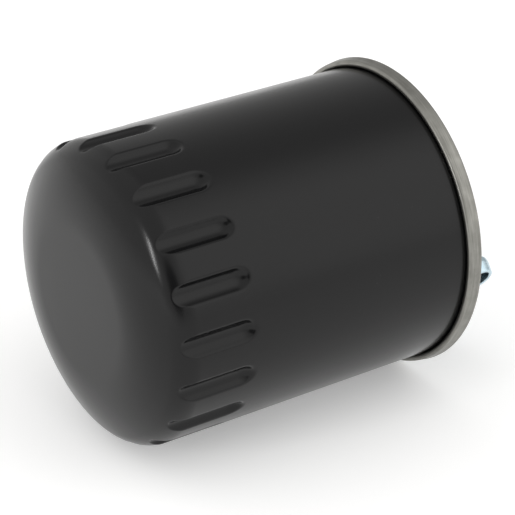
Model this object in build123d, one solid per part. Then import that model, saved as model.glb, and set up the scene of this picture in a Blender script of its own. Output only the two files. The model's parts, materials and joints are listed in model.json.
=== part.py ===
"""In-line canister oil filter with a seamed cover and two elbow hose nipples.

The filter is drawn standing on its domed end, with its axis along Z, and is then laid down so that the
axis runs along +X, from the dome to the cover. The origin is on the axis, in the middle of the plain part
of the can wall, where the bracket's band holds it. Sizes are in millimetres.
"""

from build123d import *
import os
from math import atan2, cos, pi, radians, sin, sqrt, tan

# ---- the can: a deep-drawn cup with a flattened dome ----
CAN_RADIUS = 40.0          # outer radius of the straight wall
CAN_WALL = 0.6
CAN_LENGTH = 84.6          # from the start of the straight wall to the top of the seam
KNUCKLE_RADIUS = 7.5       # tight bend between the wall and the dome
KNUCKLE_TURN = 62.0        # degrees that the knuckle turns
CROWN_RADIUS = 36.0        # shallow bend between the knuckle and the flat middle of the dome

# ---- the grip flutes pressed into the wall and the knuckle ----
FLUTE_COUNT = 19
FLUTE_WIDTH = 5.6          # across the mouth
FLUTE_DEPTH = 1.7
FLUTE_TOP = 16.2           # how far a flute reaches up the straight wall
FLUTE_FOOT = 5.2           # how far it reaches down over the knuckle
FLUTE_DRAFT = 22.0         # slope of its side walls, in degrees
FLUTE_RUNOUT = 5.5         # radius of the scoop at its upper end
FLUTE_PHASE = 0.2          # turn of the whole ring of flutes, in degrees

# ---- the double seam between the can and the cover ----
COVER_SHEET = 0.5
SEAM_GAP = 0.03            # between two layers of the seam
SEAM_HEIGHT = 4.0
SEAM_FLARE = 0.6           # the seam is this much wider at its top than at its foot
SEAM_CORNER = 0.9          # bend of the cover over the top of the seam
SEAM_ROLL = 0.8            # bend of the cover round the foot of the seam
SEAM_LEAD = 0.2            # how far below the seam the can's wall starts to lean
CHUCK_TAPER = 4.0          # outward lean of the layers inside the seam, in degrees
COMPOUND_BED = 0.12        # sealing compound squeezed between the top of the can's hook and the cover

# ---- the cover inside the seam ----
SINK_DEPTH = 4.5           # from the seam's top down to the sunk ring
SINK_WIDTH = 5.0           # flat width of the sunk ring
RAMP_WIDTH = 4.87          # from the sunk ring in to the flat middle that carries the nipples
PLATFORM_RISE = 0.6        # height of the flat middle above the seam's top
COVER_BEND = 1.2           # bend radius of the pressing

# ---- the hose nipples ----
PIPE_RADIUS = 4.2
PIPE_WALL = 0.75
BEAD_RADIUS = 5.1
BEAD_LENGTH = 5.4          # from the back of the bead to the nipple's mouth
BEAD_SHOULDER = 1.2        # length of the swelling from the pipe to the bead's crest
BEAD_CREST = 1.4
BEAD_ROUND = 1.0           # rounding of the bead's corners
MOUTH_RADIUS = 4.4         # to which the bead tapers at the mouth
LIP_ROUND = 0.3            # rounding of the nipple's mouth
NIPPLE_HEIGHT = 13.5       # from the seam's top to the axis of the pipe's level run
NIPPLE_BEND = 8.0          # bend radius of the elbow's axis
OUTLET_REACH = 29.0        # from the can's axis to the outlet's mouth
INLET_MARGIN = 7.0         # from the inlet's upright out to the edge of the flat middle
INLET_REACH = 25.0         # from the inlet's upright to its mouth
NIPPLE_HEADING = -58.6     # way that both mouths point, in degrees about the axis
COLLAR_RADIUS = 6.0
COLLAR_HEIGHT = 3.0
BRAZE_GAP = 0.05           # around a pipe in its collar, the cover or the plate

# ---- under the cover ----
PLATE_THICKNESS = 1.5
PLATE_MARGIN = 1.5         # from the edge of the platform's flat to the edge of the plate
SPIGOT_RADIUS = 7.0
SPIGOT_WALL = 1.0
SPIGOT_FLANGE = 11.0       # radius of the flange welded under the plate
SPIGOT_LENGTH = 15.0
DIAPHRAGM_HUB = 10.0       # radius of the rubber hub round the spigot
DIAPHRAGM_HUB_HEIGHT = 4.0
DIAPHRAGM_WEB = 0.8
LIP_WIDTH = 1.6
LIP_MARGIN = 1.2           # how far the lip seals beyond the inlet hole

# ---- the filter element ----
FLOW_GAP = 3.2             # room for the oil between the caps and the flutes' backs
FLOAT_CLEARANCE = 0.5      # from the bottom cap, pressed right down, to the start of the dome's bend
CAP_SHEET = 0.5
CAP_SKIRT = 5.0
POTTING_DEPTH = 2.5
TUBE_RADIUS = 13.0
TUBE_WALL = 0.5
HOLE_RADIUS = 2.2
HOLES_ROUND = 8
HOLE_PITCH = 10.0          # between rows of holes in the centre tube
PLEATS = 36
PAPER = 0.6
PLEAT_GAP = 0.3            # between the folds and the centre tube
OUTER_FOLD = 1.6           # width of a fold's back at the outer tips
INNER_FOLD = 1.2
CLIP_SHEET = 0.3
CLIP_DEPTH = 6.0
CLIP_GAP = 0.05            # between the clip and the paper inside it
SKIRT_GAP = 0.5            # between the clip and the caps' skirts
GROMMET_NECK = 9.0         # radius of the hole in the top cap that the grommet sits in
GROMMET_LIP = 2.0          # thickness of the grommet above and below the cap
GROMMET_RADIUS = 11.0
SLIDE_FIT = 0.05           # radial clearance of the grommet on the spigot
SEAT_GAP = 0.1             # between the element and what it bears on

# ---- the bypass valve in the bottom cap ----
PORT_RADIUS = 6.5
PORT_LIP = 1.5             # height of the turned-up seat round the port
POPPET_RADIUS = 8.6
POPPET_SHEET = 0.8
FACING = 1.2
STEM_RADIUS = 1.5
CAGE_RADIUS = 10.5
CAGE_SHEET = 0.6
CAGE_WINDOWS = 4
WINDOW_WIDTH = 5.25
WINDOW_HEIGHT = 6.5
BYPASS_LIFT = 2.5
BYPASS_PRESSED = 6.8       # length left for the bypass spring when the valve is wide open
BYPASS_COIL = 4.6          # mean radius of the bypass spring
BYPASS_WIRE = 0.45         # radius of its wire
BYPASS_TURNS = 4

# ---- the spring under the element ----
SPRING_COIL = 11.0
SPRING_WIRE = 0.8
SPRING_TURNS = 2.5
SEAT_SHEET = 0.6
SEAT_HALF_WIDTH = 2.6
SEAT_COLLAR = 2.0
FLOAT_TRAVEL = 2.5
COIL_GAP = 0.1             # between a coil's end and its seat

BAND_ROOM = 1.5            # plain wall left free at each end of the band's seat


# ---- sizes and heights that follow from the ones above ----
CAN_BORE = CAN_RADIUS - CAN_WALL
KNUCKLE_INNER = CAN_RADIUS - KNUCKLE_RADIUS * (1 - cos(radians(KNUCKLE_TURN)))
KNUCKLE_DROP = KNUCKLE_RADIUS * sin(radians(KNUCKLE_TURN))
CROWN_SLOPE = radians(90 - KNUCKLE_TURN)
FLAT_RADIUS = KNUCKLE_INNER - CROWN_RADIUS * sin(CROWN_SLOPE)
DOME_FLOOR = -KNUCKLE_DROP - CROWN_RADIUS * (1 - cos(CROWN_SLOPE))
SEAM_TOP = CAN_LENGTH
SEAM_FOOT = SEAM_TOP - SEAM_HEIGHT
LEAN_FOOT = SEAM_FOOT - SEAM_LEAD
HOOK_BEND = (COVER_SHEET + 2 * SEAM_GAP) / 2
HOOK_CENTRE = SEAM_TOP - COVER_SHEET - COMPOUND_BED - HOOK_BEND - CAN_WALL
FOOT_RADIUS = CAN_RADIUS + 2 * COVER_SHEET + CAN_WALL + 4 * SEAM_GAP
SEAM_RADIUS = FOOT_RADIUS + SEAM_FLARE
CHUCK_RADIUS = CAN_BORE - SEAM_GAP
SINK_RADIUS = CHUCK_RADIUS - COVER_SHEET
SINK_TOP = SEAM_TOP - SINK_DEPTH
PLATFORM_RADIUS = SINK_RADIUS - SINK_WIDTH - RAMP_WIDTH
INLET_OFFSET = PLATFORM_RADIUS - INLET_MARGIN
PLATFORM_TOP = SEAM_TOP + PLATFORM_RISE
PLATE_TOP = PLATFORM_TOP - COVER_SHEET
PLATE_FOOT = PLATE_TOP - PLATE_THICKNESS
PLATE_RADIUS = PLATFORM_RADIUS - PLATE_MARGIN
LIP_RADIUS = INLET_OFFSET + PIPE_RADIUS + LIP_MARGIN
HUB_TOP = PLATE_FOOT - SPIGOT_WALL
HUB_FOOT = HUB_TOP - DIAPHRAGM_HUB_HEIGHT
GROMMET_TOP = HUB_FOOT - SEAT_GAP
CAP_TOP = GROMMET_TOP - GROMMET_LIP
CAP_RADIUS = CAN_BORE - FLUTE_DEPTH - FLOW_GAP
ELEMENT_FOOT = FLOAT_TRAVEL + FLOAT_CLEARANCE
MEDIA_TOP = CAP_TOP - CAP_SHEET - POTTING_DEPTH
MEDIA_FOOT = ELEMENT_FOOT + CAP_SHEET + POTTING_DEPTH
INNER_TIP = TUBE_RADIUS + PLEAT_GAP + PAPER / 2
OUTER_TIP = CAP_RADIUS - CAP_SHEET - SKIRT_GAP - CLIP_SHEET - CLIP_GAP - PAPER / 2
SEAT_TOP = ELEMENT_FOOT + PORT_LIP
POPPET_FOOT = SEAT_TOP + SEAT_GAP + FACING
POPPET_TOP = POPPET_FOOT + POPPET_SHEET
CAGE_TOP = POPPET_TOP + BYPASS_LIFT + BYPASS_PRESSED + CAGE_SHEET
DOME_INSIDE = DOME_FLOOR + CAN_WALL
BAND_LOW = FLUTE_TOP + BAND_ROOM
BAND_HIGH = SEAM_FOOT - BAND_ROOM
ORIGIN = (BAND_LOW + BAND_HIGH) / 2

OUTLET_AT = (0.0, 0.0)
INLET_AT = (
    INLET_OFFSET * cos(radians(NIPPLE_HEADING + 90)),
    INLET_OFFSET * sin(radians(NIPPLE_HEADING + 90)),
)


# ---- small tools of the drawing ----
def lean(height):
    """How far outwards the seam's layers have leaned at this height."""
    return (height - LEAN_FOOT) * tan(radians(CHUCK_TAPER))


HOOK_AXIS = CAN_RADIUS + lean(HOOK_CENTRE) + HOOK_BEND  # radius at which the can's hook turns over


def ring(inner, outer, foot, height):
    """A plain ring about the axis, standing on foot."""
    section = Pos((inner + outer) / 2, foot + height / 2) * Rectangle(outer - inner, height)
    return revolve(Plane.XZ * section, Axis.Z)


def turned(*points):
    """A solid turned about the axis from the outline (radius, height) of its half section."""
    return revolve(Plane.XZ * make_face(Polyline(*points, close=True)), Axis.Z)


def rod(radius, foot, height, at=(0.0, 0.0)):
    """An upright cylinder that stands on foot."""
    return Pos(at[0], at[1], foot + height / 2) * Cylinder(radius, height)


# ---- the can ----
def can_skin(inset):
    """The solid inside the can's surface, or inset from it, from the dome up to the hook's bend."""
    knuckle = KNUCKLE_RADIUS - inset
    crown = CROWN_RADIUS - inset
    wall = CAN_RADIUS - inset
    floor = DOME_FLOOR + inset
    bend = (CAN_RADIUS - KNUCKLE_RADIUS, 0.0)
    join = radians(KNUCKLE_TURN)
    half = join / 2
    crown_centre = (FLAT_RADIUS, DOME_FLOOR + CROWN_RADIUS)
    outline = [
        Line((0, floor), (FLAT_RADIUS, floor)),
        ThreePointArc(
            (FLAT_RADIUS, floor),
            (crown_centre[0] + crown * sin(CROWN_SLOPE / 2), crown_centre[1] - crown * cos(CROWN_SLOPE / 2)),
            (bend[0] + knuckle * cos(join), bend[1] - knuckle * sin(join)),
        ),
        ThreePointArc(
            (bend[0] + knuckle * cos(join), bend[1] - knuckle * sin(join)),
            (bend[0] + knuckle * cos(half), bend[1] - knuckle * sin(half)),
            (wall, 0),
        ),
        Line((wall, 0), (wall, LEAN_FOOT)),
        Line((wall, LEAN_FOOT), (wall + lean(HOOK_CENTRE), HOOK_CENTRE)),
        Line((wall + lean(HOOK_CENTRE), HOOK_CENTRE), (0, HOOK_CENTRE)),
        Line((0, HOOK_CENTRE), (0, floor)),
    ]
    return revolve(Plane.XZ * make_face(outline), Axis.Z)


def flute_cutter(grown):
    """One flute as a solid on the +X side; grown by the wall, it is the dent that shows inside."""
    slope = radians(FLUTE_DRAFT)
    clear = 2.0
    floor = CAN_RADIUS - FLUTE_DEPTH - grown
    spread = grown / cos(slope) + clear * tan(slope)
    width = FLUTE_WIDTH + 2 * spread
    length = FLUTE_TOP + FLUTE_FOOT + 2 * spread
    middle = (FLUTE_TOP - FLUTE_FOOT) / 2
    mouth = Plane(origin=(CAN_RADIUS + clear, 0, middle), x_dir=(0, 0, 1), z_dir=(-1, 0, 0))
    punch = extrude(mouth * SlotOverall(length, width), CAN_RADIUS + clear - floor, taper=FLUTE_DRAFT)
    run = FLUTE_RUNOUT + grown
    rise = sqrt(run**2 - (run - FLUTE_DEPTH - grown) ** 2)
    scoop_start = FLUTE_TOP + grown - rise
    far = CAN_RADIUS + 2 * clear
    low = -FLUTE_FOOT - 2 * spread
    profile = [
        Line((floor, low), (floor, scoop_start)),
        ThreePointArc(
            (floor, scoop_start),
            (floor + run - run * cos(pi / 4), scoop_start + run * sin(pi / 4)),
            (floor + run, scoop_start + run),
        ),
        Line((floor + run, scoop_start + run), (far + run, scoop_start + run)),
        Line((far + run, scoop_start + run), (far + run, low)),
        Line((far + run, low), (floor, low)),
    ]
    scoop = extrude(Plane.XZ * make_face(profile), width, both=True)
    return punch & scoop


def flute_ring(grown):
    """The whole ring of flutes."""
    cutter = flute_cutter(grown)
    return [
        Rot(0, 0, FLUTE_PHASE + number * 360.0 / FLUTE_COUNT) * cutter
        for number in range(FLUTE_COUNT)
    ]


def make_can():
    """Cup with pressed flutes, and the body hook bent outwards and down at its mouth."""
    outside = can_skin(0.0) - flute_ring(0.0)
    inside = can_skin(CAN_WALL) - flute_ring(CAN_WALL)
    outer_bend = HOOK_BEND + CAN_WALL
    drop = SEAM_FOOT + SEAM_ROLL + SEAM_GAP
    top = (HOOK_AXIS, HOOK_CENTRE)
    foot = (HOOK_AXIS - lean(HOOK_CENTRE) + lean(drop), drop)
    hook = [
        ThreePointArc(
            (top[0] - outer_bend, top[1]), (top[0], top[1] + outer_bend), (top[0] + outer_bend, top[1])
        ),
        Line((top[0] + outer_bend, top[1]), (foot[0] + outer_bend, foot[1])),
        Line((foot[0] + outer_bend, foot[1]), (foot[0] + HOOK_BEND, foot[1])),
        Line((foot[0] + HOOK_BEND, foot[1]), (top[0] + HOOK_BEND, top[1])),
        ThreePointArc(
            (top[0] + HOOK_BEND, top[1]), (top[0], top[1] + HOOK_BEND), (top[0] - HOOK_BEND, top[1])
        ),
        Line((top[0] - HOOK_BEND, top[1]), (top[0] - outer_bend, top[1])),
    ]
    return outside - inside + revolve(Plane.XZ * make_face(hook), Axis.Z)


# ---- the cover ----
def pressing(sheet, bends, *corners):
    """Sheet metal turned about the axis: one face is the line (radius, height), the other to its right."""
    line = [Vector(*corner) for corner in corners]
    ways = [(end - start).normalized() for start, end in zip(line, line[1:])]
    across = [Vector(way.Y, -way.X) * sheet for way in ways]
    back = [line[0] + across[0]]
    back_bends = []
    for corner, before, after, bend in zip(line[1:], across, across[1:], bends):
        both = before + after
        back.append(corner + both * (2 * sheet**2 / both.dot(both)))
        turns_left = before.cross(after).Z > 0
        back_bends.append(bend + sheet if turns_left else bend - sheet)
    back.append(line[-1] + across[-1])
    outline = FilletPolyline(
        *line,
        *reversed(back),
        radius=[0, *bends, 0, 0, *reversed(back_bends), 0],
        close=True,
    )
    return revolve(Plane.XZ * make_face(outline), Axis.Z)


def make_cover():
    """Pressed lid whose edge is rolled over, under and up behind the can's hook, pierced for the pipes."""
    hook_radius = CAN_RADIUS + SEAM_GAP
    hook_end = HOOK_CENTRE - SEAM_GAP
    tight = COVER_BEND - COVER_SHEET
    over_hook = HOOK_BEND + CAN_WALL + COVER_SHEET
    lid = pressing(
        COVER_SHEET,
        [COVER_BEND, tight, tight, over_hook, SEAM_CORNER, SEAM_ROLL, SEAM_ROLL],
        (0, PLATFORM_TOP),
        (PLATFORM_RADIUS, PLATFORM_TOP),
        (SINK_RADIUS - SINK_WIDTH, SINK_TOP),
        (SINK_RADIUS + lean(SINK_TOP), SINK_TOP),
        (SINK_RADIUS + lean(SEAM_TOP), SEAM_TOP),
        (SEAM_RADIUS, SEAM_TOP),
        (FOOT_RADIUS, SEAM_FOOT),
        (hook_radius + lean(SEAM_FOOT), SEAM_FOOT),
        (hook_radius + lean(hook_end), hook_end),
    )
    return lid - pipe_holes()


def pipe_holes():
    """The two holes that the nipples' uprights pass through."""
    height = PLATFORM_TOP + COLLAR_HEIGHT - PLATE_FOOT
    return [
        rod(PIPE_RADIUS + BRAZE_GAP, PLATE_FOOT, height, at)
        for at in (OUTLET_AT, INLET_AT)
    ]


def make_seam_compound():
    """Sealing ring that fills the corner between the can's hook and the cover."""
    bend = HOOK_BEND + CAN_WALL
    top = SEAM_TOP - COVER_SHEET
    inner_corner = SEAM_CORNER - COVER_SHEET / 2
    skirt = SEAM_RADIUS - COVER_SHEET - SEAM_GAP
    slope = SEAM_FLARE / SEAM_HEIGHT
    foot = (skirt - slope * (SEAM_TOP - HOOK_CENTRE), HOOK_CENTRE)
    corner = (skirt - slope * (COVER_SHEET + inner_corner), top - inner_corner)
    outline = [
        ThreePointArc(
            (HOOK_AXIS, HOOK_CENTRE + bend),
            (HOOK_AXIS + bend * sin(pi / 4), HOOK_CENTRE + bend * cos(pi / 4)),
            (HOOK_AXIS + bend, HOOK_CENTRE),
        ),
        Line((HOOK_AXIS + bend, HOOK_CENTRE), foot),
        Line(foot, corner),
        Line(corner, (skirt - inner_corner, top)),
        Line((skirt - inner_corner, top), (HOOK_AXIS, top)),
        Line((HOOK_AXIS, top), (HOOK_AXIS, HOOK_CENTRE + bend)),
    ]
    return revolve(Plane.XZ * make_face(outline), Axis.Z)


# ---- the hose nipples ----
def make_nipple(at, reach):
    """Elbow of steel pipe, from the underside of the base plate to the bead and lip of its hose end."""
    level = SEAM_TOP + NIPPLE_HEIGHT
    bead_start = reach - BEAD_LENGTH
    path = FilletPolyline((0, 0, PLATE_FOOT), (0, 0, level), (bead_start, 0, level), radius=NIPPLE_BEND)
    section = Pos(0, 0, PLATE_FOOT) * (Circle(PIPE_RADIUS) - Circle(PIPE_RADIUS - PIPE_WALL))
    pipe = sweep(section, path=path)
    crest_start = bead_start + BEAD_SHOULDER
    bead_line = FilletPolyline(
        (bead_start, PIPE_RADIUS - PIPE_WALL),
        (bead_start, PIPE_RADIUS),
        (crest_start, BEAD_RADIUS),
        (crest_start + BEAD_CREST, BEAD_RADIUS),
        (reach, MOUTH_RADIUS),
        (reach, PIPE_RADIUS - PIPE_WALL),
        radius=[0, 0, BEAD_ROUND, BEAD_ROUND, LIP_ROUND, LIP_ROUND],
        close=True,
    )
    bead = Pos(0, 0, level) * revolve(Plane.XZ * make_face(bead_line), Axis.X)
    return Pos(at[0], at[1], 0) * Rot(0, 0, NIPPLE_HEADING) * (pipe + bead)


def make_collar(at):
    """Turned steel collar brazed round a pipe where it stands on the cover."""
    inner = PIPE_RADIUS + BRAZE_GAP
    neck = inner + PIPE_WALL
    shape = turned(
        (inner, PLATFORM_TOP),
        (COLLAR_RADIUS, PLATFORM_TOP),
        (COLLAR_RADIUS, PLATFORM_TOP + COLLAR_HEIGHT / 2),
        (neck, PLATFORM_TOP + COLLAR_HEIGHT),
        (inner, PLATFORM_TOP + COLLAR_HEIGHT),
    )
    return Pos(at[0], at[1], 0) * shape


# ---- under the cover ----
def make_base_plate():
    """Flat steel disc welded under the platform, which takes the ends of the pipes."""
    return rod(PLATE_RADIUS, PLATE_FOOT, PLATE_THICKNESS) - pipe_holes()


def make_outlet_spigot():
    """Flanged tube welded under the plate; the element seals round it."""
    bore = SPIGOT_RADIUS - SPIGOT_WALL
    tube = ring(bore, SPIGOT_RADIUS, PLATE_FOOT - SPIGOT_LENGTH, SPIGOT_LENGTH)
    return tube + ring(bore, SPIGOT_FLANGE, HUB_TOP, SPIGOT_WALL)


def make_anti_drain_valve():
    """Rubber diaphragm: a hub on the spigot and a thin cone whose lip closes over the inlet."""
    inner = SPIGOT_RADIUS + BRAZE_GAP
    foot = HUB_TOP - DIAPHRAGM_HUB_HEIGHT / 2
    lip_foot = PLATE_FOOT - LIP_WIDTH / 2
    return turned(
        (inner, HUB_FOOT),
        (DIAPHRAGM_HUB, HUB_FOOT),
        (DIAPHRAGM_HUB, foot - DIAPHRAGM_WEB),
        (LIP_RADIUS - LIP_WIDTH, lip_foot - DIAPHRAGM_WEB),
        (LIP_RADIUS, lip_foot),
        (LIP_RADIUS, PLATE_FOOT),
        (LIP_RADIUS - LIP_WIDTH, PLATE_FOOT),
        (LIP_RADIUS - LIP_WIDTH, lip_foot),
        (DIAPHRAGM_HUB, foot),
        (DIAPHRAGM_HUB, HUB_TOP),
        (inner, HUB_TOP),
    )


# ---- the filter element ----
def make_top_cap():
    """Pressed steel cap with a hole for the grommet and a skirt round the pleats."""
    return pressing(
        CAP_SHEET,
        [2 * CAP_SHEET],
        (GROMMET_NECK, CAP_TOP),
        (CAP_RADIUS, CAP_TOP),
        (CAP_RADIUS, CAP_TOP - CAP_SKIRT),
    )


def make_bottom_cap():
    """Pressed steel cap with a turned-up seat round the bypass port and a skirt round the pleats."""
    return pressing(
        CAP_SHEET,
        [2 * CAP_SHEET, CAP_SHEET],
        (CAP_RADIUS, ELEMENT_FOOT + CAP_SKIRT),
        (CAP_RADIUS, ELEMENT_FOOT),
        (PORT_RADIUS, ELEMENT_FOOT),
        (PORT_RADIUS, SEAT_TOP),
    )


def make_outlet_grommet():
    """Rubber seal snapped into the top cap; it slides on the spigot."""
    bore = SPIGOT_RADIUS + SLIDE_FIT
    neck = GROMMET_NECK - BRAZE_GAP
    cap_foot = CAP_TOP - CAP_SHEET
    return turned(
        (bore, cap_foot - GROMMET_LIP),
        (GROMMET_RADIUS, cap_foot - GROMMET_LIP),
        (GROMMET_RADIUS, cap_foot),
        (neck, cap_foot),
        (neck, CAP_TOP),
        (GROMMET_RADIUS, CAP_TOP),
        (GROMMET_RADIUS, GROMMET_TOP),
        (bore, GROMMET_TOP),
    )


def make_potting(foot):
    """Bed of plastisol in a cap, in which the pleats stand."""
    inner = TUBE_RADIUS + BRAZE_GAP
    outer = CAP_RADIUS - CAP_SHEET - BRAZE_GAP
    block = ring(inner, outer, foot, POTTING_DEPTH)
    rim = block.edges().filter_by(GeomType.CIRCLE).group_by(SortBy.RADIUS)[-1]
    return chamfer(rim, CAP_SHEET)


def pleat_star(shift):
    """Outline of the folded paper, moved outwards by shift from the middle of its thickness."""
    points = []
    for fold in range(PLEATS):
        peak = 2 * pi * fold / PLEATS
        valley = peak + pi / PLEATS
        tips = (
            (OUTER_TIP + shift, peak, OUTER_FOLD + 2 * shift),
            (INNER_TIP + shift, valley, INNER_FOLD - 2 * shift),
        )
        for radius, angle, width in tips:
            half = atan2(width / 2, radius)
            points += [(radius * cos(angle + side), radius * sin(angle + side)) for side in (-half, half)]
    return make_face(Polyline(*points, close=True))


def make_pleated_media():
    """One sheet of paper folded into a closed star round the centre tube."""
    section = pleat_star(PAPER / 2) - pleat_star(-PAPER / 2)
    return Pos(0, 0, MEDIA_FOOT) * extrude(section, MEDIA_TOP - MEDIA_FOOT)


def make_media_clip():
    """Steel strip folded over the pleat where the two ends of the paper meet."""
    back = OUTER_TIP + PAPER / 2 + CLIP_GAP
    slot = OUTER_FOLD + PAPER + 2 * CLIP_GAP
    height = MEDIA_TOP - MEDIA_FOOT
    middle = (MEDIA_FOOT + MEDIA_TOP) / 2
    width = slot + 2 * CLIP_SHEET
    block = Pos(back + CLIP_SHEET - CLIP_DEPTH / 2, 0, middle) * Box(CLIP_DEPTH, width, height)
    return block - Pos(back - CLIP_DEPTH / 2, 0, middle) * Box(CLIP_DEPTH, slot, 2 * height)


def make_centre_tube():
    """Steel tube between the caps, with staggered rows of holes behind the paper."""
    foot = ELEMENT_FOOT + CAP_SHEET
    height = CAP_TOP - CAP_SHEET - foot
    rows = int((MEDIA_TOP - MEDIA_FOOT) / HOLE_PITCH)
    middle = (MEDIA_FOOT + MEDIA_TOP) / 2
    holes = []
    for row in range(rows):
        level = middle + (row - (rows - 1) / 2) * HOLE_PITCH
        stagger = (row % 2) * 180.0 / HOLES_ROUND
        for number in range(HOLES_ROUND):
            turn = stagger + number * 360.0 / HOLES_ROUND
            holes.append(
                Pos(0, 0, level) * Rot(0, 0, turn) * Pos(TUBE_RADIUS, 0, 0) * Rot(0, 90, 0)
                * Cylinder(HOLE_RADIUS, 4 * TUBE_WALL)
            )
    return ring(TUBE_RADIUS - TUBE_WALL, TUBE_RADIUS, foot, height) - holes


# ---- the bypass valve ----
def make_bypass_cage():
    """Pressed cup with windows, welded inside the bottom cap; its top guides the stem."""
    foot = ELEMENT_FOOT + CAP_SHEET
    flange = TUBE_RADIUS - TUBE_WALL - BRAZE_GAP
    cup = pressing(
        CAGE_SHEET,
        [CAGE_SHEET + SEAT_GAP, CAGE_SHEET / 2],
        (STEM_RADIUS + SLIDE_FIT, CAGE_TOP),
        (CAGE_RADIUS, CAGE_TOP),
        (CAGE_RADIUS, foot + CAGE_SHEET),
        (flange, foot + CAGE_SHEET),
    )
    window = Pos(CAGE_RADIUS, 0, (foot + CAGE_TOP) / 2) * Box(CAGE_RADIUS, WINDOW_WIDTH, WINDOW_HEIGHT)
    return cup - [Rot(0, 0, number * 360.0 / CAGE_WINDOWS) * window for number in range(CAGE_WINDOWS)]


def make_bypass_facing():
    """Rubber disc that closes on the seat."""
    return rod(POPPET_RADIUS, SEAT_TOP + SEAT_GAP, FACING)


def make_bypass_poppet():
    """Steel disc over the facing, with a stem that runs in the cage's top."""
    stem = CAGE_TOP + STEM_RADIUS - POPPET_FOOT
    return rod(POPPET_RADIUS, POPPET_FOOT, POPPET_SHEET) + rod(STEM_RADIUS, POPPET_FOOT, stem)


def coil(radius, wire, turns, foot, top):
    """Coil spring of round wire whose ends lie COIL_GAP inside foot and top."""
    rise = top - foot - 2 * (wire + COIL_GAP)
    path = Helix(rise / turns, rise, radius)
    start = Plane(origin=path @ 0, z_dir=path % 0)
    wire_solid = sweep(start * Circle(wire), path=path, is_frenet=True)
    return Pos(0, 0, foot + wire + COIL_GAP) * wire_solid


def make_bypass_spring():
    """Light coil between the poppet and the cage's top."""
    return coil(BYPASS_COIL, BYPASS_WIRE, BYPASS_TURNS, POPPET_TOP, CAGE_TOP - CAGE_SHEET)


# ---- the spring under the element ----
def seat_ring(foot, collar_top, collar_foot):
    """Flat ring under one end of the element's spring, with a collar inside the coil."""
    inner = SPRING_COIL - SEAT_HALF_WIDTH
    flat = ring(inner, SPRING_COIL + SEAT_HALF_WIDTH, foot, SEAT_SHEET)
    return flat + ring(inner, inner + SEAT_SHEET, collar_foot, collar_top - collar_foot)


def make_spring_seat():
    """Ring that rests in the flat middle of the dome."""
    return seat_ring(DOME_INSIDE, DOME_INSIDE + SEAT_COLLAR, DOME_INSIDE)


def make_spring_cup():
    """Ring welded under the bottom cap, round the bypass port."""
    return seat_ring(ELEMENT_FOOT - SEAT_SHEET, ELEMENT_FOOT, ELEMENT_FOOT - SEAT_COLLAR)


def make_element_spring():
    """Coil that presses the element up against the spigot's flange."""
    return coil(SPRING_COIL, SPRING_WIRE, SPRING_TURNS, DOME_INSIDE + SEAT_SHEET, ELEMENT_FOOT - SEAT_SHEET)


PARTS = {
    "can": make_can(),
    "cover": make_cover(),
    "seam_compound": make_seam_compound(),
    "outlet_nipple": make_nipple(OUTLET_AT, OUTLET_REACH),
    "inlet_nipple": make_nipple(INLET_AT, INLET_REACH),
    "outlet_collar": make_collar(OUTLET_AT),
    "inlet_collar": make_collar(INLET_AT),
    "base_plate": make_base_plate(),
    "outlet_spigot": make_outlet_spigot(),
    "anti_drain_valve": make_anti_drain_valve(),
    "top_cap": make_top_cap(),
    "bottom_cap": make_bottom_cap(),
    "outlet_grommet": make_outlet_grommet(),
    "top_potting": make_potting(MEDIA_TOP),
    "bottom_potting": make_potting(ELEMENT_FOOT + CAP_SHEET),
    "pleated_media": make_pleated_media(),
    "media_clip": make_media_clip(),
    "centre_tube": make_centre_tube(),
    "bypass_cage": make_bypass_cage(),
    "bypass_facing": make_bypass_facing(),
    "bypass_poppet": make_bypass_poppet(),
    "bypass_spring": make_bypass_spring(),
    "spring_seat": make_spring_seat(),
    "spring_cup": make_spring_cup(),
    "element_spring": make_element_spring(),
}

os.makedirs("parts", exist_ok=True)
LAY_DOWN = Rot(0, 90, 0) * Pos(0, 0, -ORIGIN)
for name, solid in PARTS.items():
    export_step(LAY_DOWN * solid, f"parts/{name}.step")
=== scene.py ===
"""The dressed in-line canister filter: black can, rolled steel seam, hose nipples and the element inside."""

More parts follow.
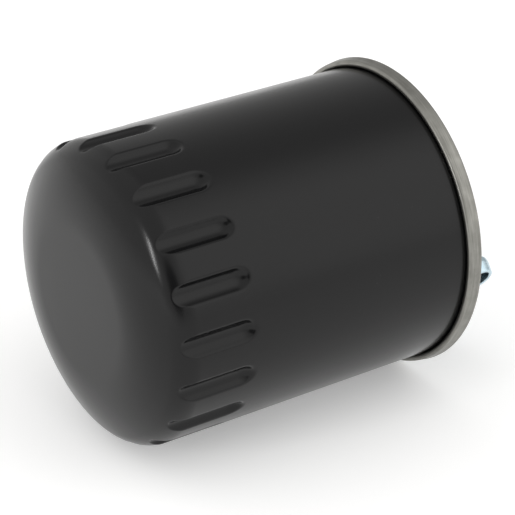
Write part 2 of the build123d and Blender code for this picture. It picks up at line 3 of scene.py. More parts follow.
import json
import bmesh
import bpy
import numpy as np
from math import atan2, cos, pi, radians, sin, sqrt, tan
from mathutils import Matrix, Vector


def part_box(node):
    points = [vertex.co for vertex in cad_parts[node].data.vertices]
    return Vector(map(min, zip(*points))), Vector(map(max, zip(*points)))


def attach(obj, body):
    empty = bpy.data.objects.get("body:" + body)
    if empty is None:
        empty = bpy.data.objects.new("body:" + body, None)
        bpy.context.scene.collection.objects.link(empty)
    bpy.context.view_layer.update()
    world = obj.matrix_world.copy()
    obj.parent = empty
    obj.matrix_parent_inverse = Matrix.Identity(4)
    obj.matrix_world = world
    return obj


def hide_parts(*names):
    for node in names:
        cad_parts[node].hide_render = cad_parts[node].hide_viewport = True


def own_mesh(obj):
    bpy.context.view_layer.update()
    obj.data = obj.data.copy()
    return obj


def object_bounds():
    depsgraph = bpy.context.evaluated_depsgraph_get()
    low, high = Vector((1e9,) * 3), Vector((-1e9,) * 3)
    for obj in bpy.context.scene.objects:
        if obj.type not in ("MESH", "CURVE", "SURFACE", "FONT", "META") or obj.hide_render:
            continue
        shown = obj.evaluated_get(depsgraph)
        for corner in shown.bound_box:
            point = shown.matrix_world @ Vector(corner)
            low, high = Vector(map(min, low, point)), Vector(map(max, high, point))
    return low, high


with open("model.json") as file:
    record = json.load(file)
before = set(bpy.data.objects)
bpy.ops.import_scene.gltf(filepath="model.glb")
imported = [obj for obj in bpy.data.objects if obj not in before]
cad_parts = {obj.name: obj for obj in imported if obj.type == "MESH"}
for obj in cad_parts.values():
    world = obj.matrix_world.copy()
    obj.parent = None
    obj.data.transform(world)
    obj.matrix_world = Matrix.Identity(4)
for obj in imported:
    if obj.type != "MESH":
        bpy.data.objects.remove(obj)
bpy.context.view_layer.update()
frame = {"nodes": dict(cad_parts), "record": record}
MM = 0.001
mounts = {mount["name"]: mount for mount in frame["record"]["mounts"]}


# ---- the can ----
# A cup deep-drawn from 0.6 mm steel, with a flattened dome and a ring of grip flutes pressed into its wall
# and knuckle. It is dipped in black electro-coat, which dries to a smooth semi-gloss skin with a faint
# orange peel. Its mouth is turned out and down into a hook, which the cover's edge is rolled round.
CAN_RADIUS = mounts["band_seat"]["dims"]["r_mm"] * MM
CAN_WALL = 0.6 * MM
KNUCKLE_RADIUS = 7.5 * MM
KNUCKLE_TURN = radians(62)
CROWN_RADIUS = 36 * MM
FLUTES = 19
FLUTE_PHASE = radians(0.2)
FLUTE_DEPTH = 1.85 * MM
FLUTE_HOLLOW = 3.15 * MM
FLUTE_SHOULDER = 1.2 * MM
FLUTE_TOP = 16.9 * MM
FLUTE_RUNOUT = 4.7 * MM
FLUTE_BLEND = 0.1 * MM
HOOK_BEND = 0.28 * MM
HOOK_LEG = 1.67 * MM
HOOK_RISE = 2.7 * MM
SEAM_LEAN = radians(4)

can_low, can_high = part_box("can")
crown_slope = pi / 2 - KNUCKLE_TURN
wall_start = can_low[0] + KNUCKLE_RADIUS * sin(KNUCKLE_TURN) + CROWN_RADIUS * (1 - cos(crown_slope))
hook_centre = can_high[0] - HOOK_BEND - CAN_WALL
lean_start = hook_centre - HOOK_RISE


def arc(centre, radius, start, end, steps):
    """Points (radius, place along the axis) on an arc about centre, from one angle to another."""
    return [
        (centre[0] + radius * cos(turn), centre[1] + radius * sin(turn))
        for turn in np.linspace(start, end, steps)
    ]


flute_bends = FLUTE_HOLLOW + FLUTE_SHOULDER
flute_half = sqrt(FLUTE_DEPTH * (2 * flute_bends - FLUTE_DEPTH))
hollow_half = flute_half * FLUTE_HOLLOW / flute_bends


def flute_dent(skin_radius, along, across):
    """How far a flute, a round hollow between rolled shoulders, pushes the skin in."""
    past = np.maximum(along - (FLUTE_TOP - FLUTE_RUNOUT), 0) * flute_half / FLUTE_RUNOUT
    aside = np.minimum(np.hypot(across, past), flute_half)
    hollow = FLUTE_DEPTH - FLUTE_HOLLOW + np.sqrt(FLUTE_HOLLOW**2 - np.minimum(aside, hollow_half) ** 2)
    edge = np.minimum(flute_half - aside, flute_half - hollow_half)
    shoulder = FLUTE_SHOULDER - np.sqrt(FLUTE_SHOULDER**2 - edge**2)
    drop = CAN_RADIUS - skin_radius
    above = np.where(aside < hollow_half, hollow, shoulder) - drop
    blend = np.minimum(0.25 * drop, FLUTE_BLEND)
    return np.where(above > -FLUTE_DEPTH, (above + np.hypot(above, blend)) / 2, 0)


def ring_points(radius, along, turn):
    """Points in the frame from radius, place along the axis and angle about it."""
    return np.stack([along, radius * np.sin(turn), -radius * np.cos(turn)], axis=-1)


def skin_mesh(name, rows, closed=False):
    """A mesh of quads between neighbouring rows of points; every row is a closed ring."""
    count, columns = rows.shape[:2]
    index = np.arange(count * columns).reshape(count, columns)
    after = np.roll(index, -1, axis=1)
    low, high = (index, after), (np.roll(index, -1, axis=0), np.roll(after, -1, axis=0))
    quads = np.stack([low[0], high[0], high[1], low[1]], axis=-1)
    if not closed:
        quads = quads[:-1]
    mesh = bpy.data.meshes.new(name)
    mesh.from_pydata(rows.reshape(-1, 3).tolist(), [], quads.reshape(-1, 4).tolist())
    work = bmesh.new()
    work.from_mesh(mesh)
    bmesh.ops.remove_doubles(work, verts=work.verts, dist=0.5e-6)
    bmesh.ops.recalc_face_normals(work, faces=work.faces)
    work.to_mesh(mesh)
    work.free()
    mesh.polygons.foreach_set("use_smooth", [True] * len(mesh.polygons))
    mesh.set_sharp_from_angle(angle=radians(38))
    return mesh


def add_piece(name, mesh, material, body, node):
    """Puts a mesh in the scene as the dressed form of a CAD node."""
    piece = bpy.data.objects.new(name, mesh)
    bpy.context.scene.collection.objects.link(piece)
    mesh.materials.append(material)
    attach(piece, body)
    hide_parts(node)
    return piece


bend_centre = (CAN_RADIUS - KNUCKLE_RADIUS, wall_start)
flat_radius = bend_centre[0] + KNUCKLE_RADIUS * cos(KNUCKLE_TURN) - CROWN_RADIUS * sin(crown_slope)
crown_centre = (flat_radius, can_low[0] + CROWN_RADIUS)
leaned = (hook_centre - lean_start) * tan(SEAM_LEAN)
outer_line = [(0.0, can_low[0]), (flat_radius / 2, can_low[0])]
outer_line += arc(crown_centre, CROWN_RADIUS, -pi / 2, -pi / 2 + crown_slope, 14)[:-1]
outer_line += arc(bend_centre, KNUCKLE_RADIUS, -KNUCKLE_TURN, 0, 40)
row_step = 0.3 * MM
outer_line += [
    (CAN_RADIUS, wall_start + step)
    for step in np.arange(row_step, FLUTE_TOP + 2 * row_step, row_step)
]
outer_line += [(CAN_RADIUS, x) for x in np.linspace(wall_start + FLUTE_TOP + 2 * MM, lean_start, 8)]
outer_line.append((CAN_RADIUS + leaned, hook_centre))
hook_axis = (CAN_RADIUS + leaned + HOOK_BEND, hook_centre)
hook_line = arc(hook_axis, HOOK_BEND, pi, 0, 9)[1:]
hook_line.append((hook_axis[0] + HOOK_BEND - HOOK_LEG * tan(SEAM_LEAN), hook_centre - HOOK_LEG))
hook_line.append((hook_axis[0] + HOOK_BEND + CAN_WALL - HOOK_LEG * tan(SEAM_LEAN), hook_centre - HOOK_LEG))
hook_line += arc(hook_axis, HOOK_BEND + CAN_WALL, 0, pi, 13)

half_pitch = pi / FLUTES
side = np.concatenate([
    np.linspace(0, hollow_half, 9, endpoint=False),
    np.linspace(hollow_half, flute_half, 9, endpoint=False),
    np.linspace(flute_half, half_pitch * CAN_RADIUS, 4),
]) / CAN_RADIUS
one_flute = np.concatenate([-side[:0:-1], side[:-1]])
turns = np.concatenate([FLUTE_PHASE + number * 2 * half_pitch + one_flute for number in range(FLUTES)])
across = np.tile(one_flute, FLUTES)

outer = np.array(outer_line)
radius = outer[:, :1] - flute_dent(
    outer[:, :1], outer[:, 1:] - wall_start, outer[:, :1] * np.sin(across)[None, :]
)
outer_skin = ring_points(radius, np.broadcast_to(outer[:, 1:], radius.shape), turns[None, :])
along_rows = np.gradient(outer_skin, axis=0)
along_columns = np.roll(outer_skin, -1, axis=1) - np.roll(outer_skin, 1, axis=1)
facing = np.cross(along_columns, along_rows)
size = np.linalg.norm(facing, axis=-1, keepdims=True)
facing = np.where(size > 1e-14, facing / np.maximum(size, 1e-14), [-1.0, 0.0, 0.0])
inner_skin = outer_skin - facing * CAN_WALL
hook = np.array(hook_line)
hook_skin = ring_points(
    np.broadcast_to(hook[:, :1], (len(hook), len(turns))),
    np.broadcast_to(hook[:, 1:], (len(hook), len(turns))),
    turns[None, :],
)
can_mesh = skin_mesh("can_shell", np.concatenate([outer_skin, hook_skin, inner_skin[-2::-1]]))


def shader_node(tree, kind, inputs=(), **settings):
    """A shader node with its settings, and its inputs set to values or joined to other nodes' outputs."""
    made = tree.nodes.new(kind)
    for name, value in settings.items():
        setattr(made, name, value)
    for name, value in dict(inputs).items():
        if isinstance(value, bpy.types.NodeSocket):
            tree.links.new(value, made.inputs[name])
        else:
            made.inputs[name].default_value = value
    return made


def worked_out(tree, operation, *values):
    """The result of a sum on numbers that vary over the surface."""
    return shader_node(tree, "ShaderNodeMath", enumerate(values), operation=operation).outputs[0]


def ranged(tree, value, start, end, low, high):
    """Maps a value from one range onto another, held at both ends."""
    inputs = {"Value": value, "From Min": start, "From Max": end, "To Min": low, "To Max": high}
    return shader_node(tree, "ShaderNodeMapRange", inputs).outputs["Result"]


def mixed(tree, share, first, second):
    """A colour between two colours."""
    return shader_node(tree, "ShaderNodeMix", {0: share, 6: first, 7: second}, data_type="RGBA").outputs[2]


def cloud(tree, where, scale, detail=3.0, roughness=0.55):
    """A soft random pattern in three dimensions, about 0.5 on average."""
    inputs = {"Vector": where, "Scale": scale, "Detail": detail, "Roughness": roughness}
    return shader_node(tree, "ShaderNodeTexNoise", inputs).outputs[0]


def bumped(tree, height, distance, strength=1.0):
    """The surface's normal, tilted by a height pattern of this depth."""
    inputs = {"Height": height, "Distance": distance, "Strength": strength}
    return shader_node(tree, "ShaderNodeBump", inputs).outputs["Normal"]


def place(tree):
    """The point's own place on the piece, in metres."""
    return shader_node(tree, "ShaderNodeTexCoord").outputs["Object"]


def new_finish(name, **sockets):
    """A material with a Principled shader, and the sockets that are the same all over already set."""
    finish = bpy.data.materials.new(name)
    finish.use_nodes = True
    shader = finish.node_tree.nodes["Principled BSDF"]
    for socket, value in sockets.items():
        shader.inputs[socket.replace("_", " ")].default_value = value
    return finish, finish.node_tree, shader


def join(tree, shader, **sockets):
    """Joins worked-out values to the shader's sockets."""
    for socket, value in sockets.items():
        tree.links.new(value, shader.inputs[socket.replace("_", " ")])


def new_group(name, inputs, outputs):
    """An empty shader node group with named sockets: inputs of a kind and first value, outputs of a kind."""
    tree = bpy.data.node_groups.new(name, "ShaderNodeTree")
    for label, (kind, value) in inputs.items():
        tree.interface.new_socket(label, in_out="INPUT", socket_type=kind).default_value = value
    for label, kind in outputs.items():
        tree.interface.new_socket(label, in_out="OUTPUT", socket_type=kind)
    return tree, tree.nodes.new("NodeGroupInput").outputs, tree.nodes.new("NodeGroupOutput").inputs


def placed_group(tree, group, **values):
    """Puts a node group in a material with its own values, and gives its outputs."""
    node = shader_node(tree, "ShaderNodeGroup", node_tree=group)
    for label, value in values.items():
        node.inputs[label.replace("_", " ")].default_value = value
    return node.outputs


# Dust and the dull marks that hands and packing leave, in patches of fine specks.
handling, given, result = new_group(
    "handling marks",
    {"Patch": ("NodeSocketFloat", 25.0), "Speck": ("NodeSocketFloat", 900.0)},
    {"Smudge": "NodeSocketFloat", "Dust": "NodeSocketFloat"},
)
where = place(handling)
patches = cloud(handling, where, given["Patch"], 4.0, 0.6)
specks = cloud(handling, where, given["Speck"], 2.0, 0.6)
smudges = ranged(handling, patches, 0.45, 0.72, 0.0, 1.0)
handling.links.new(smudges, result["Smudge"])
dust = ranged(handling, specks, 0.66, 0.74, 0.0, 1.0)
handling.links.new(worked_out(handling, "MULTIPLY", dust, smudges), result["Dust"])

COAT_BLACK = (0.0028, 0.0028, 0.0031, 1)
COAT_DUST = (0.016, 0.016, 0.017, 1)
black_coat, tree, shader = new_finish("black electro-coat", IOR=1.36)
marks = placed_group(tree, handling, Patch=22.0, Speck=1400.0)
where = place(tree)
peel = cloud(tree, where, 650.0, 2.0, 0.45)
swell = cloud(tree, where, 60.0, 1.0, 0.4)
skin = worked_out(tree, "MULTIPLY_ADD", swell, 3.0, peel)
join(
    tree,
    shader,
    Base_Color=mixed(tree, marks["Dust"], COAT_BLACK, COAT_DUST),
    Roughness=ranged(tree, marks["Smudge"], 0.0, 1.0, 0.2, 0.27),
    Normal=bumped(tree, skin, 0.004 * MM),
)
add_piece("can_shell", can_mesh, black_coat, "housing", "can")


# ---- the cover ----
# A lid pressed from 0.5 mm bare sheet: a raised middle that carries the pipes, a sunk ring, and an edge that
# four seaming rolls have tucked under the can's hook and ironed flat against its wall.
COVER_SHEET = 0.5 * MM
SEAM_GAP = 0.03 * MM
SEAM_HEIGHT = 4.0 * MM
SEAM_FLARE = 0.6 * MM
COMPOUND_BED = 0.12 * MM
SINK_DEPTH = 4.5 * MM
SINK_WIDTH = 5.0 * MM
RAMP_WIDTH = 4.87 * MM
COVER_BEND = 1.2 * MM
SEAM_CORNER = 0.9 * MM
SEAM_ROLL = 0.8 * MM

cover_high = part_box("cover")[1]
seam_top = hook_centre + HOOK_BEND + CAN_WALL + COMPOUND_BED + COVER_SHEET
seam_foot = seam_top - SEAM_HEIGHT
sink_top = seam_top - SINK_DEPTH


def leaning(radius, along):
    """The radius of a layer of the seam at a place on the axis, past where it starts to lean."""
    return radius + (along - lean_start) * tan(SEAM_LEAN)


def rounded_line(bends, corners, steps=10):
    """Points along a line whose inner corners are rounded to these bend radii, and the ways to its right."""
    corners = [np.array(corner) for corner in corners]
    ways = [(end - start) / np.linalg.norm(end - start) for start, end in zip(corners, corners[1:])]
    sides = [np.array((way[1], -way[0])) for way in ways]
    line, rights = [corners[0]], [sides[0]]
    for corner, before, after, side, bend in zip(corners[1:], ways, ways[1:], sides, bends):
        turn = atan2(before[0] * after[1] - before[1] * after[0], before @ after)
        inward = -side if turn > 0 else side
        centre = corner - before * bend * tan(abs(turn) / 2) + inward * bend
        for angle in np.linspace(0, turn, steps):
            spin = np.array(((cos(angle), -sin(angle)), (sin(angle), cos(angle))))
            line.append(centre - spin @ inward * bend)
            rights.append(spin @ side)
    return np.array([*line, corners[-1]]), np.array([*rights, sides[-1]])


def bent_sheet(sheet, bends, corners):
    """Closed outline of a bent sheet: one face follows the corners, the other is one sheet to its right."""
    front, rights = rounded_line(bends, corners)
    return np.concatenate([front, (front + rights * sheet)[::-1]])


def finely(line, step):
    """The same outline with points put in wherever two of them are further apart than step."""
    fine = []
    for start, end in zip(line, np.roll(line, -1, axis=0)):
        parts = max(1, int(np.ceil(np.linalg.norm(end - start) / step)))
        fine += [start + (end - start) * part / parts for part in range(parts)]
    return np.array(fine)


def turned_rows(line, columns=384):
    """Rows of points for a lathe-turned skin, from its outline of (radius, place along the axis)."""
    turn = np.linspace(0, 2 * pi, columns, endpoint=False)[None, :]
    radius = np.broadcast_to(line[:, :1], (len(line), columns))
    return ring_points(radius, np.broadcast_to(line[:, 1:], radius.shape), turn)


hook_face = CAN_RADIUS + SEAM_GAP
sink_radius = CAN_RADIUS - CAN_WALL - SEAM_GAP - COVER_SHEET
foot_radius = CAN_RADIUS + 2 * COVER_SHEET + CAN_WALL + 4 * SEAM_GAP
platform_radius = sink_radius - SINK_WIDTH - RAMP_WIDTH
tight = COVER_BEND - COVER_SHEET
over_hook = HOOK_BEND + CAN_WALL + COVER_SHEET
cover_line = bent_sheet(
    COVER_SHEET,
    [COVER_BEND, tight, tight, over_hook, SEAM_CORNER, SEAM_ROLL, SEAM_ROLL],
    [
        (0, cover_high[0]),
        (platform_radius, cover_high[0]),
        (sink_radius - SINK_WIDTH, sink_top),
        (leaning(sink_radius, sink_top), sink_top),
        (leaning(sink_radius, seam_top), seam_top),
        (foot_radius + SEAM_FLARE, seam_top),
        (foot_radius, seam_foot),
        (leaning(hook_face, seam_foot), seam_foot),
        (leaning(hook_face, hook_centre - SEAM_GAP), hook_centre - SEAM_GAP),
    ],
)
cover_mesh = skin_mesh("cover_lid", turned_rows(finely(cover_line, 1.0 * MM)), closed=True)

# Fine rings that turning, rolling or drawing leaves round an axis along +X through the centre.
rings, given, result = new_group(
    "marks round the axis",
    {
        "Centre": ("NodeSocketVector", (0, 0, 0)),
        "Fineness": ("NodeSocketFloat", 2500.0),
        "Breaks": ("NodeSocketFloat", 3.0),
    },
    {"Rings": "NodeSocketFloat", "Blotches": "NodeSocketFloat"},
)
offset = shader_node(
    rings, "ShaderNodeVectorMath", {0: place(rings), 1: given["Centre"]}, operation="SUBTRACT"
)
axes = shader_node(rings, "ShaderNodeSeparateXYZ", {0: offset.outputs[0]}).outputs
flat = shader_node(rings, "ShaderNodeCombineXYZ", {1: axes[1], 2: axes[2]}).outputs[0]
reach = shader_node(rings, "ShaderNodeVectorMath", {0: flat}, operation="LENGTH").outputs["Value"]
way = shader_node(rings, "ShaderNodeVectorMath", {0: flat}, operation="NORMALIZE").outputs[0]
turned = shader_node(rings, "ShaderNodeSeparateXYZ", {0: way}).outputs
spot = shader_node(
    rings,
    "ShaderNodeCombineXYZ",
    {
        0: worked_out(rings, "MULTIPLY", axes[0], given["Fineness"]),
        1: worked_out(rings, "MULTIPLY", reach, given["Fineness"]),
        2: worked_out(rings, "MULTIPLY", turned[1], given["Breaks"]),
    },
).outputs[0]
fourth = worked_out(rings, "MULTIPLY", turned[2], given["Breaks"])
ring_noise = shader_node(
    rings,
    "ShaderNodeTexNoise",
    {"Vector": spot, "W": fourth, "Scale": 1.0, "Detail": 3.0},
    noise_dimensions="4D",
)
rings.links.new(ring_noise.outputs[0], result["Rings"])
blotches = cloud(rings, place(rings), 260.0, 4.0, 0.6)
rings.links.new(ranged(rings, blotches, 0.38, 0.68, 0.0, 1.0), result["Blotches"])

STEEL_DULL = (0.2, 0.197, 0.18, 1)
STEEL_RUBBED = (0.34, 0.335, 0.31, 1)
STEEL_DUST = (0.12, 0.115, 0.105, 1)
seamed_steel, tree, shader = new_finish("seamed steel", Metallic=1.0)
marks = placed_group(tree, rings, Fineness=2600.0, Breaks=5.0)
touched = placed_group(tree, handling, Patch=60.0, Speck=1800.0)
streaks = ranged(tree, marks["Rings"], 0.3, 0.7, 0.0, 1.0)
rubbed = worked_out(tree, "MULTIPLY_ADD", marks["Blotches"], 0.3, worked_out(tree, "MULTIPLY", streaks, 0.6))
grey = mixed(tree, rubbed, STEEL_DULL, STEEL_RUBBED)
join(
    tree,
    shader,
    Base_Color=mixed(tree, touched["Dust"], grey, STEEL_DUST),
    Roughness=ranged(tree, rubbed, 0.1, 0.8, 0.46, 0.34),
    Normal=bumped(tree, marks["Rings"], 0.012 * MM),
)
add_piece("cover_lid", cover_mesh, seamed_steel, "housing", "cover")


# ---- the sealing compound ----
# A bead of grey lining compound, flowed into the cover's edge before seaming. It fills the corner over the
# can's hook, so only the seam's own section shows it.
COMPOUND_DARK = (0.17, 0.17, 0.18, 1)
COMPOUND_PALE = (0.23, 0.23, 0.24, 1)
compound, tree, shader = new_finish("cured lining compound", Roughness=0.7)
flow = cloud(tree, place(tree), 900.0, 3.0, 0.6)
join(
    tree,
    shader,
    Base_Color=mixed(tree, ranged(tree, flow, 0.4, 0.6, 0.0, 1.0), COMPOUND_DARK, COMPOUND_PALE),
    Normal=bumped(tree, flow, 0.02 * MM),
)


def refinish(finish, *nodes):
    """Gives CAD nodes that already have the right shape their finish."""
    for node in nodes:
        mesh = frame["nodes"][node].data
        mesh.materials.clear()
        mesh.materials.append(finish)


refinish(compound, "seam_compound")


# ---- the hose nipples ----
# Two elbows bent from thin steel pipe, with the hose end swollen into a smooth bead and its lip rounded.
# They are zinc plated, with the faint blue of a clear chromate, and stand in holes through the cover.
PIPE_RADIUS = 4.2 * MM
PIPE_WALL = 0.75 * MM
PIPE_SPIN = 72
BEAD_LENGTH = 5.4 * MM
BEAD_SHOULDER = 1.2 * MM
BEAD_CREST = 1.4 * MM
BEAD_ROUND = 1.0 * MM
MOUTH_RADIUS = 4.4 * MM
LIP_ROUND = 0.3 * MM
NIPPLE_BEND = 8.0 * MM
NIPPLE_REACH = {"outlet_nipple": 29.0 * MM, "inlet_nipple": 25.0 * MM}

ZINC = (0.5, 0.64, 0.72, 1)
ZINC_PALE = (0.6, 0.72, 0.77, 1)
zinc, tree, shader = new_finish("blue zinc plate", Metallic=1.0)
touched = placed_group(tree, handling, Patch=110.0, Speck=2200.0)
where = place(tree)
spangle = cloud(tree, where, 900.0, 2.0, 0.5)
tint = worked_out(tree, "MULTIPLY_ADD", touched["Smudge"], 0.5, ranged(tree, spangle, 0.4, 0.6, 0.0, 0.5))
join(
    tree,
    shader,
    Base_Color=mixed(tree, tint, ZINC, ZINC_PALE),
    Roughness=ranged(tree, tint, 0.0, 1.0, 0.2, 0.32),
    Normal=bumped(tree, spangle, 0.004 * MM),
)


def elbow_rows(stand, heading, foot, level, reach, bead):
    """Rows of points round a pipe, from its foot through the elbow, over its lip and back inside."""
    climb = level - foot - NIPPLE_BEND
    bend = NIPPLE_BEND * pi / 2
    whole = climb + bend + reach - NIPPLE_BEND
    bead_start = whole - BEAD_LENGTH
    crest = bead_start + BEAD_SHOULDER
    bore = PIPE_RADIUS - PIPE_WALL
    line, _ = rounded_line(
        [BEAD_ROUND, BEAD_ROUND, BEAD_ROUND, LIP_ROUND, LIP_ROUND],
        [
            (0, PIPE_RADIUS),
            (bead_start, PIPE_RADIUS),
            (crest, bead),
            (crest + BEAD_CREST, bead),
            (whole, MOUTH_RADIUS),
            (whole, bore),
            (0, bore),
        ],
    )
    up = np.array((1.0, 0, 0))
    across = np.cross(up, heading)
    spin = np.linspace(0, 2 * pi, PIPE_SPIN, endpoint=False)[:, None]
    rows = []
    for along, radius in finely(line, 0.6 * MM):
        angle = min(max(along - climb, 0) / NIPPLE_BEND, pi / 2)
        straight = max(along - climb - bend, 0)
        middle = (
            stand
            + up * (foot + min(along, climb) + NIPPLE_BEND * sin(angle))
            + heading * (NIPPLE_BEND * (1 - cos(angle)) + straight)
        )
        outer_side = heading * cos(angle) - up * sin(angle)
        rows.append(middle + radius * (outer_side * np.cos(spin) + across * np.sin(spin)))
    return np.array(rows)


for nipple, collar in (("outlet_nipple", "outlet_collar"), ("inlet_nipple", "inlet_collar")):
    bead_mount = mounts[nipple]
    heading = np.array(bead_mount["axis"])
    collar_low, collar_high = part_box(collar)
    stand = np.array((0, collar_low[1] + collar_high[1], collar_low[2] + collar_high[2])) / 2
    held = np.array(bead_mount["pos_m"])
    reach = NIPPLE_REACH[nipple]
    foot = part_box("base_plate")[0][0]
    rows = elbow_rows(stand, heading, foot, held[0], reach, bead_mount["dims"]["r_mm"] * MM)
    pipe_mesh = skin_mesh(nipple + "_pipe", rows, closed=True)
    add_piece(nipple + "_pipe", pipe_mesh, zinc, "housing", nipple)


# ---- the collars ----
# Small turned rings that the pipes stand in, brazed to the cover; the braze leaves a hollow fillet that
# runs from the collar up onto the pipe.
COLLAR_RADIUS = 6.0 * MM
COLLAR_EDGE = 0.3 * MM
COLLAR_GAP = 0.02 * MM
BRAZE_EDGE = 0.15 * MM

for collar in ("outlet_collar", "inlet_collar"):
    low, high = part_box(collar)
    stand = np.array((0, low[1] + high[1], low[2] + high[2])) / 2
    bore = PIPE_RADIUS + COLLAR_GAP
    shoulder = (low[0] + high[0]) / 2
    crown = COLLAR_RADIUS - COLLAR_EDGE
    neck = bore + BRAZE_EDGE
    line = [(bore, low[0]), (COLLAR_RADIUS, low[0])]
    line += arc((crown, shoulder - COLLAR_EDGE), COLLAR_EDGE, 0, pi / 2, 6)
    line += [
        (crown - (crown - neck) * sin(turn), shoulder + (high[0] - shoulder) * (1 - cos(turn)))
        for turn in np.linspace(0, pi / 2, 12)[1:]
    ]
    line.append((bore, high[0]))
    rows = turned_rows(np.array(line), 96) + stand
    turned_zinc, tree, shader = new_finish("turned zinc of the " + collar.replace("_", " "), Metallic=1.0)
    marks = placed_group(tree, rings, Centre=tuple(stand), Fineness=3200.0, Breaks=2.0)
    touched = placed_group(tree, handling, Patch=110.0, Speck=2200.0)
    join(
        tree,
        shader,
        Base_Color=mixed(tree, marks["Blotches"], ZINC, ZINC_PALE),
        Roughness=ranged(tree, touched["Smudge"], 0.0, 1.0, 0.24, 0.36),
        Normal=bumped(tree, marks["Rings"], 0.01 * MM),
    )
    mesh = skin_mesh(collar + "_ring", rows, closed=True)
    add_piece(collar + "_ring", mesh, turned_zinc, "housing", collar)


# ---- the plate and the outlet spigot ----
# A flat disc and a flanged tube of tinned steel, welded under the cover's raised middle.
TIN = (0.5, 0.5, 0.485, 1)
TIN_WORN = (0.36, 0.355, 0.34, 1)
tinned_steel, tree, shader = new_finish("tinned steel", Metallic=1.0)
marks = placed_group(tree, rings, Fineness=2000.0, Breaks=3.0)
touched = placed_group(tree, handling, Patch=50.0, Speck=1500.0)
worn = worked_out(tree, "MULTIPLY", marks["Blotches"], ranged(tree, marks["Rings"], 0.3, 0.7, 0.2, 1.0))
join(
    tree,
    shader,
    Base_Color=mixed(tree, worn, TIN, TIN_WORN),
    Roughness=ranged(tree, touched["Smudge"], 0.0, 1.0, 0.28, 0.42),
    Normal=bumped(tree, marks["Rings"], 0.008 * MM),
)
refinish(tinned_steel, "base_plate", "outlet_spigot")


# ---- the rubber pieces ----
# Moulded nitrile rubber: the diaphragm that closes the inlet, the grommet that seals the element on the
# spigot, and the facing of the bypass valve. It is matt, with the bloom and the fine grain of its mould.
RUBBER_DARK = (0.022, 0.022, 0.022, 1)
RUBBER_BLOOM = (0.042, 0.042, 0.043, 1)
rubber, tree, shader = new_finish("nitrile rubber")
touched = placed_group(tree, handling, Patch=70.0, Speck=2000.0)
grain = cloud(tree, place(tree), 3000.0, 2.0, 0.6)
join(
    tree,
    shader,
    Base_Color=mixed(tree, touched["Smudge"], RUBBER_DARK, RUBBER_BLOOM),
    Roughness=ranged(tree, grain, 0.35, 0.65, 0.5, 0.68),
    Normal=bumped(tree, grain, 0.01 * MM),
)
refinish(rubber, "anti_drain_valve", "outlet_grommet", "bypass_facing")


# ---- the element ----
# A star of folded filter paper round a pierced steel tube, its joint held by a folded steel strip, and its
# ends set in plastisol inside two pressed caps. The caps, strip, tube, cage and cup are tinned steel too.
PAPER = (0.78, 0.66, 0.41, 1)
PAPER_RESIN = (0.68, 0.53, 0.29, 1)
filter_paper, tree, shader = new_finish("filter paper", Roughness=0.85)
where = place(tree)
long_way = shader_node(tree, "ShaderNodeMapping", {"Vector": where, "Scale": (0.25, 1.0, 1.0)}).outputs[0]
fibres = cloud(tree, long_way, 3500.0, 3.0, 0.65)
resin = cloud(tree, where, 180.0, 3.0, 0.55)
shade = worked_out(tree, "MULTIPLY_ADD", fibres, 0.5, ranged(tree, resin, 0.3, 0.7, 0.0, 0.5))
join(
    tree,
    shader,
    Base_Color=mixed(tree, shade, PAPER, PAPER_RESIN),
    Normal=bumped(tree, fibres, 0.05 * MM),
)
refinish(filter_paper, "pleated_media")

PLASTISOL_RED = (0.5, 0.14, 0.1, 1)
PLASTISOL_PALE = (0.58, 0.19, 0.13, 1)
plastisol, tree, shader = new_finish("cured plastisol")
touched = placed_group(tree, handling, Patch=60.0, Speck=1500.0)
bubbles = cloud(tree, place(tree), 700.0, 2.0, 0.5)
join(
    tree,
    shader,
    Base_Color=mixed(tree, touched["Smudge"], PLASTISOL_RED, PLASTISOL_PALE),
    Roughness=ranged(tree, bubbles, 0.3, 0.7, 0.38, 0.55),
    Normal=bumped(tree, bubbles, 0.03 * MM),
)
refinish(plastisol, "top_potting", "bottom_potting")
refinish(tinned_steel, "top_cap", "bottom_cap", "media_clip", "centre_tube")
refinish(tinned_steel, "bypass_cage", "bypass_poppet", "spring_seat", "spring_cup")


# ---- the two springs ----
# Coils of round spring wire. The wide one stands in the dome and presses the element up against the
# outlet's spigot; the small one holds the bypass valve shut. Their end turns lie nearly flat.
SPRING_WIRE = {"element_spring": 0.8 * MM, "bypass_spring": 0.45 * MM}
SPRING_TURNS = {"element_spring": 2.5, "bypass_spring": 4}
WIRE_SPIN = 16
WIRE_DARK = (0.24, 0.24, 0.25, 1)
WIRE_BRIGHT = (0.4, 0.39, 0.38, 1)

spring_wire, tree, shader = new_finish("oiled spring wire", Metallic=1.0)
touched = placed_group(tree, handling, Patch=120.0, Speck=2500.0)
drawn = cloud(tree, place(tree), 2500.0, 3.0, 0.6)
join(
    tree,
    shader,
    Base_Color=mixed(tree, ranged(tree, drawn, 0.35, 0.65, 0.0, 1.0), WIRE_DARK, WIRE_BRIGHT),
    Roughness=ranged(tree, touched["Smudge"], 0.0, 1.0, 0.25, 0.4),
    Normal=bumped(tree, drawn, 0.01 * MM),
)


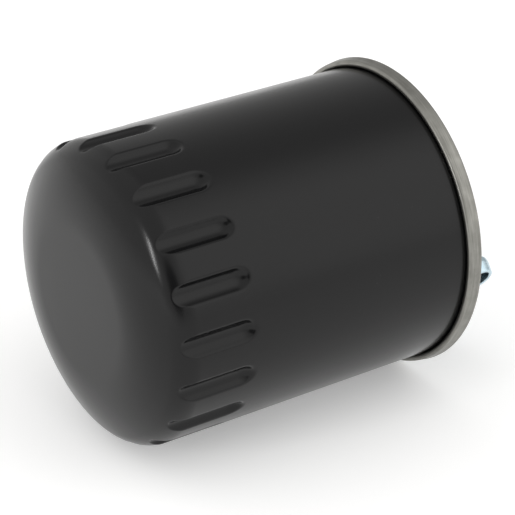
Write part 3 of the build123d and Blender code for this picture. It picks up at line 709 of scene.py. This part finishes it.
def coil_rows(centre, wire, turns, low, high):
    """Rows of points round a coiled wire from one end of the spring to the other."""
    steps = int(turns * 60) + 1
    share = np.linspace(0, 1, steps)
    flat = 0.35 / turns
    eased = np.clip((share - flat) / (1 - 2 * flat), 0, 1)
    rise = 0.12 * share + 0.88 * eased * eased * (3 - 2 * eased)
    turn = 2 * pi * turns * share
    line = ring_points(centre, low + wire + (high - low - 2 * wire) * rise, turn)
    way = np.gradient(line, axis=0)
    way /= np.linalg.norm(way, axis=1, keepdims=True)
    outwards = ring_points(1.0, np.zeros(steps), turn)
    third = np.cross(way, outwards)
    third /= np.linalg.norm(third, axis=1, keepdims=True)
    spin = np.linspace(0, 2 * pi, WIRE_SPIN, endpoint=False)[None, :, None]
    skin = line[:, None] + wire * (outwards[:, None] * np.cos(spin) + third[:, None] * np.sin(spin))
    ends = [np.broadcast_to(line[end], (1, WIRE_SPIN, 3)) for end in (0, -1)]
    return np.concatenate([ends[0], skin, ends[1]])


for spring, body, joint in (
    ("element_spring", "housing", "element_float"), ("bypass_spring", "element", "bypass_lift")
):
    low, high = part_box(spring)
    wire = SPRING_WIRE[spring]
    rows = coil_rows(high[1] - wire, wire, SPRING_TURNS[spring], low[0], high[0])
    coil = add_piece(spring + "_coil", skin_mesh(spring + "_coil", rows), spring_wire, body, spring)
    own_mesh(coil)


# ---- the studio ----
# A white sweep under soft light from all round: brighter from the front left, darker where the camera
# stands, with one narrow strip lamp level with the dome.
KEY = {"way": (0.54, -0.64, 0.53), "rim": 50, "core": 10, "gain": 0.55}
CAMERA_SIDE = {"way": (-0.59, -0.76, 0.28), "rim": 24, "core": 10, "gain": -0.8}
BEHIND = {"way": (0.62, 0.42, 0.4), "rim": 60, "core": 15, "gain": -0.45}
SURROUND = 0.95
STRIP_TURN = radians(-172)
STRIP_RISE = radians(19)
STRIP_DISTANCE = 0.6
STRIP_SIZE = (0.05, 0.2)
STRIP_POWER = 0.7
SWEEP_SHADES = ((0.9, 0.9, 0.9, 1), (0.92, 0.92, 0.92, 1))
SWEEP_REACH = 3.0
SWEEP_GLOW = 0.28

world = bpy.data.worlds.new("studio")
bpy.context.scene.world = world
world.use_nodes = True
tree = world.node_tree
way = shader_node(tree, "ShaderNodeTexCoord").outputs["Generated"]
level = None
for patch in (KEY, CAMERA_SIDE, BEHIND):
    toward = Vector(patch["way"]).normalized()
    facing = shader_node(tree, "ShaderNodeVectorMath", {0: way, 1: toward}, operation="DOT_PRODUCT")
    fade = {
        "Value": facing.outputs["Value"],
        "From Min": cos(radians(patch["rim"])),
        "From Max": cos(radians(patch["core"])),
        "To Max": patch["gain"],
    }
    share = shader_node(tree, "ShaderNodeMapRange", fade, interpolation_type="SMOOTHSTEP").outputs["Result"]
    gain = worked_out(tree, "ADD", share, 1.0)
    level = gain if level is None else worked_out(tree, "MULTIPLY", level, gain)
tree.links.new(worked_out(tree, "MULTIPLY", level, SURROUND), tree.nodes["Background"].inputs["Strength"])
tree.nodes["Background"].inputs["Color"].default_value = (1, 0.995, 0.985, 1)

low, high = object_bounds()
strip = bpy.data.lights.new("strip lamp", "AREA")
strip.shape = "RECTANGLE"
strip.size, strip.size_y = STRIP_SIZE
strip.energy = STRIP_POWER
strip_lamp = bpy.data.objects.new("strip lamp", strip)
bpy.context.scene.collection.objects.link(strip_lamp)
strip_way = Vector((
    cos(STRIP_TURN) * cos(STRIP_RISE),
    sin(STRIP_TURN) * cos(STRIP_RISE),
    sin(STRIP_RISE),
))
strip_lamp.location = Vector((low[0], 0, 0)) + strip_way * STRIP_DISTANCE
strip_lamp.rotation_mode = "QUATERNION"
strip_lamp.rotation_quaternion = (-strip_way).to_track_quat("-Z", "Y")

sweep_mesh = bpy.data.meshes.new("white sweep")
sweep_mesh.from_pydata(
    [(x * SWEEP_REACH, y * SWEEP_REACH, low[2]) for x, y in ((-1, -1), (1, -1), (1, 1), (-1, 1))],
    [],
    [(0, 1, 2, 3)],
)
sweep = bpy.data.objects.new("white_sweep", sweep_mesh)
bpy.context.scene.collection.objects.link(sweep)
white, tree, shader = new_finish("white sweep", Roughness=0.9)
shader.inputs["Specular IOR Level"].default_value = 0.0
fibre = cloud(tree, place(tree), 900.0, 2.0, 0.6)
join(tree, shader, Base_Color=mixed(tree, ranged(tree, fibre, 0.3, 0.7, 0.0, 1.0), *SWEEP_SHADES))
rays = shader_node(tree, "ShaderNodeLightPath").outputs
seen = worked_out(tree, "MAXIMUM", rays["Is Camera Ray"], rays["Is Glossy Ray"])
seen = worked_out(tree, "MAXIMUM", seen, rays["Is Transmission Ray"])
shader.inputs["Emission Color"].default_value = (1, 1, 1, 1)
tree.links.new(worked_out(tree, "MULTIPLY", seen, SWEEP_GLOW), shader.inputs["Emission Strength"])
sweep_mesh.materials.append(white)
bpy.context.scene.view_settings.view_transform = "Standard"


# ---- the camera ----
# A long lens, a little above the filter and towards its domed end.
CAMERA_TURN = radians(-34.2153)
CAMERA_RISE = radians(27.3141)
CAMERA_DISTANCE = 585 * MM
CAMERA_LENS = 156.05
CAMERA_SENSOR = 36
CAMERA_AIM = (-5.22, -0.1, -2.69)
aim = Vector(CAMERA_AIM) * MM
away = Vector((
    sin(CAMERA_TURN) * cos(CAMERA_RISE),
    -cos(CAMERA_TURN) * cos(CAMERA_RISE),
    sin(CAMERA_RISE),
))
lens = bpy.data.cameras.new("camera")
lens.lens = CAMERA_LENS
lens.sensor_width = CAMERA_SENSOR
camera = bpy.data.objects.new("camera", lens)
bpy.context.scene.collection.objects.link(camera)
camera.location = aim + away * CAMERA_DISTANCE
camera.rotation_mode = "QUATERNION"
camera.rotation_quaternion = (-away).to_track_quat("-Z", "Y")
bpy.context.scene.camera = camera
